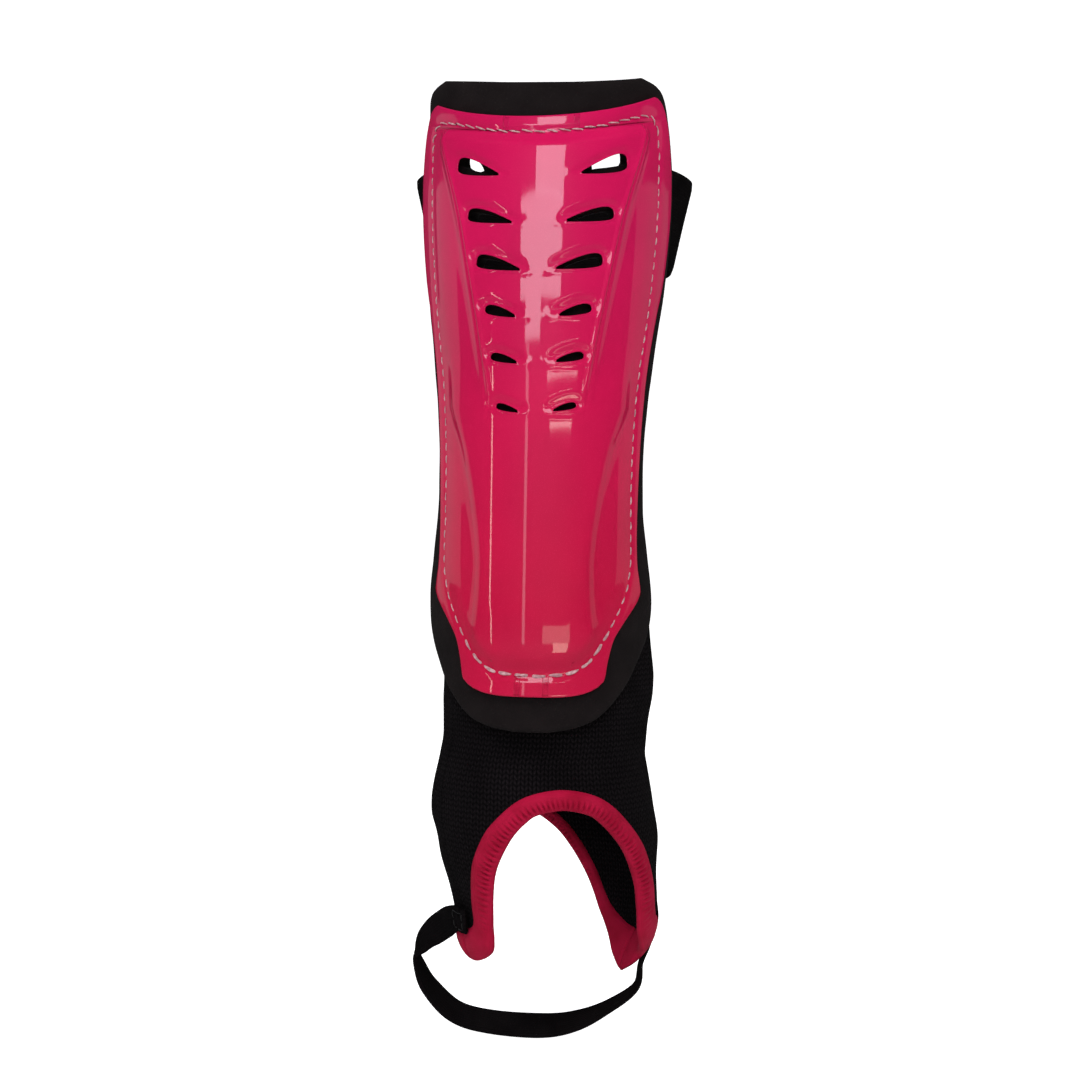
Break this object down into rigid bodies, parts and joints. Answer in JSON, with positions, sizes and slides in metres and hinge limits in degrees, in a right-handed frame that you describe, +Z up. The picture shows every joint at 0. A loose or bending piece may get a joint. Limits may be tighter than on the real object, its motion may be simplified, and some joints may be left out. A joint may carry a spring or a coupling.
{
  "type": "shin guard",
  "caption": "Ankle shin guard: vented moulded shell on a foam pad, elastic calf strap, knitted ankle sock with bound instep and heel arches and a stirrup strap",
  "frame": {"origin": "on the pad's inner face, on its middle line at the height of the pad's middle, where the guard sits on the shin", "axes": "+Z up the leg, +Y back from the shell into the leg, +X to the right as seen from the front"},
  "size_m": [0.1087, 0.1106, 0.3544],
  "materials": {
    "shell_plastic": "glossy moulded plastic with fine metallic flake",
    "pad_foam": "matte closed-cell foam with a fine pebble",
    "elastic": "matte woven elastic",
    "hook_fastener": "fine plastic hooks",
    "knit": "matte rib knit",
    "binding": "soft padded knit binding with sewn dents"
  },
  "bodies": {
    "root": {"shell": "shell_plastic", "foam_pad": "pad_foam", "calf_strap": "elastic", "hook_tab": "hook_fastener", "ankle_sock": "knit", "instep_binding": "binding", "heel_binding": "binding", "stirrup_strap": "elastic"}
  },
  "joints": []
}
